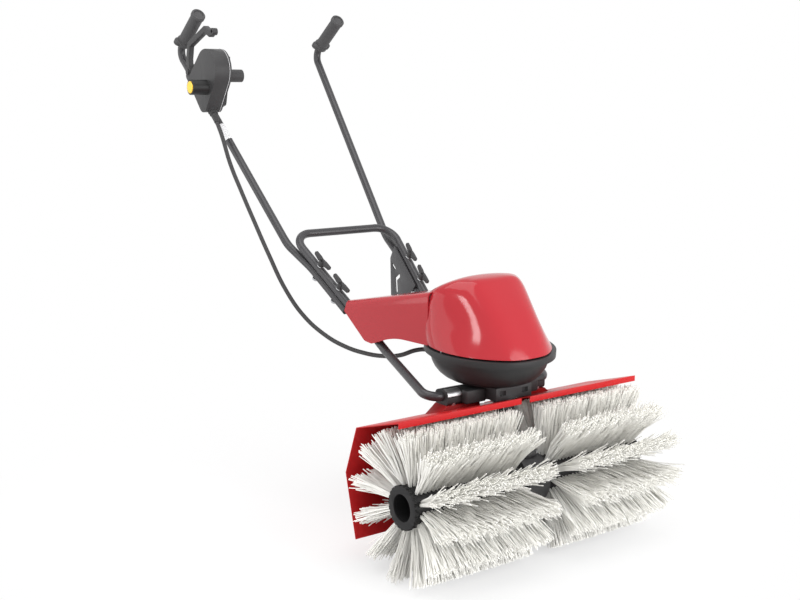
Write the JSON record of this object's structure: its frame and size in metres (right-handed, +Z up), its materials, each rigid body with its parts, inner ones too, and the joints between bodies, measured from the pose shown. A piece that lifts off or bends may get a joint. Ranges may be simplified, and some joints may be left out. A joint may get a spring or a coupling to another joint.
{
  "type": "electric power brush sweeper",
  "caption": "Walk-behind electric power brush: a hooded motor on a tube frame drives a wide roller brush through a central worm leg under a red sheet guard.",
  "frame": {"origin": "floor, under the middle of the part's plan outline", "axes": "+Z up, -Y to the machine's front, +Y to the operator, +X to the machine's left"},
  "size_m": [0.666, 1.3426, 1.1989],
  "materials": {
    "hood_red": "glossy moulded",
    "guard_red": "powder coated sheet",
    "bracket_red": "powder coated",
    "tube_black": "semi-gloss black",
    "cast_black": "painted casting",
    "bowl_black": "fine grain",
    "switch_black": "moulded",
    "grip_black": "matt",
    "seam_grey": "pale gasket",
    "button_yellow": "moulded",
    "bristle_cream": "nylon filament",
    "core_black": "moulded tube",
    "hub_grey": "turned",
    "steel": "machined",
    "zinc": "zinc plated",
    "bronze": "hobbed",
    "winding": "laminated",
    "cable_black": "extruded sheath"
  },
  "bodies": {
    "frame": {"main_frame": "tube_black", "cross_beam": "cast_black", "tube_caps": "cast_black", "cap_bolts": "steel", "head_plate": "cast_black", "flange_bolts": "steel", "motor_base": "bowl_black", "motor_hood": "hood_red", "hood_screws": "steel", "motor_bolts": "steel", "motor_stator": "winding", "bell_lower": "hub_grey", "bell_upper": "hub_grey", "rotor_bearings": "steel", "worm_bearings": "steel", "gear_case_left": "cast_black", "gear_case_right": "cast_black", "case_bolts": "steel", "axle_bearings": "steel", "axle_seals": "grip_black", "guard_left": "guard_red", "guard_right": "guard_red", "guard_bracket": "bracket_red", "guard_screws": "zinc", "handle_left": "tube_black", "handle_right": "tube_black", "tube_plugs": "core_black", "grip_left": "grip_black", "grip_right": "grip_black", "handle_bolts": "steel", "handle_washers": "zinc", "slotted_bracket": "tube_black", "switch_shells": "switch_black", "switch_seam": "seam_grey", "cable_glands": "cable_black", "motor_cable": "cable_black"},
    "rotor": {"rotor_shaft": "zinc", "rotor_core": "steel", "motor_fan": "bowl_black", "motor_pinion": "steel"},
    "layshaft": {"lay_shaft": "zinc", "lay_gear": "steel", "worm": "steel"},
    "brush": {"brush_axle": "zinc", "worm_wheel": "bronze", "drive_hub_left": "hub_grey", "drive_hub_right": "hub_grey", "hub_pins": "zinc", "brush_core_left": "core_black", "brush_core_right": "core_black", "end_ring_left": "core_black", "end_ring_right": "core_black", "bristles_left": "bristle_cream", "bristles_right": "bristle_cream"},
    "lever": {"switch_lever": "switch_black"},
    "button": {"lock_button": "button_yellow"},
    "knob_a": {"knob_left_low": "switch_black"},
    "knob_b": {"knob_left_high": "switch_black"},
    "knob_c": {"knob_right_low": "switch_black"},
    "knob_d": {"knob_right_high": "switch_black"}
  },
  "joints": [
    {"name": "rotor_spin", "type": "hinge", "parent": "frame", "child": "rotor", "pos_m": [0, -0.40051, 0.4045], "axis": [0, 0, 1], "continuous": true},
    {"name": "layshaft_spin", "type": "hinge", "parent": "frame", "child": "layshaft", "pos_m": [0, -0.44251, 0.2845], "axis": [0, 0, 1], "continuous": true},
    {"name": "brush_spin", "type": "hinge", "parent": "frame", "child": "brush", "pos_m": [0, -0.50651, 0.1645], "axis": [1, 0, 0], "continuous": true},
    {"name": "lever_squeeze", "type": "hinge", "parent": "frame", "child": "lever", "pos_m": [-0.229, 0.58349, 1.0365], "axis": [-1, 0, 0], "range_deg": [0, 9], "stiffness_Nm_per_rad": 1.5, "springref_deg": -2.86},
    {"name": "lock_press", "type": "slide", "parent": "frame", "child": "button", "axis": [1, 0, 0], "range_m": [0, 0.005], "stiffness_N_per_m": 400, "springref_m": -0.001},
    {"name": "knob_left_low_turn", "type": "hinge", "parent": "frame", "child": "knob_a", "pos_m": [0.12256, 0.03102, 0.5099], "axis": [0, -0.5907, 0.8069], "continuous": true},
    {"name": "knob_left_high_turn", "type": "hinge", "parent": "frame", "child": "knob_b", "pos_m": [0.13369, 0.09657, 0.55789], "axis": [0, -0.5907, 0.8069], "continuous": true},
    {"name": "knob_right_low_turn", "type": "hinge", "parent": "frame", "child": "knob_c", "pos_m": [-0.12256, 0.03102, 0.5099], "axis": [0, -0.5907, 0.8069], "continuous": true},
    {"name": "knob_right_high_turn", "type": "hinge", "parent": "frame", "child": "knob_d", "pos_m": [-0.13369, 0.09657, 0.55789], "axis": [0, -0.5907, 0.8069], "continuous": true}
  ],
  "couplings": [
    {"joint": "layshaft_spin", "follows": "rotor_spin", "ratio": -1},
    {"joint": "brush_spin", "follows": "rotor_spin", "ratio": 0.05}
  ]
}
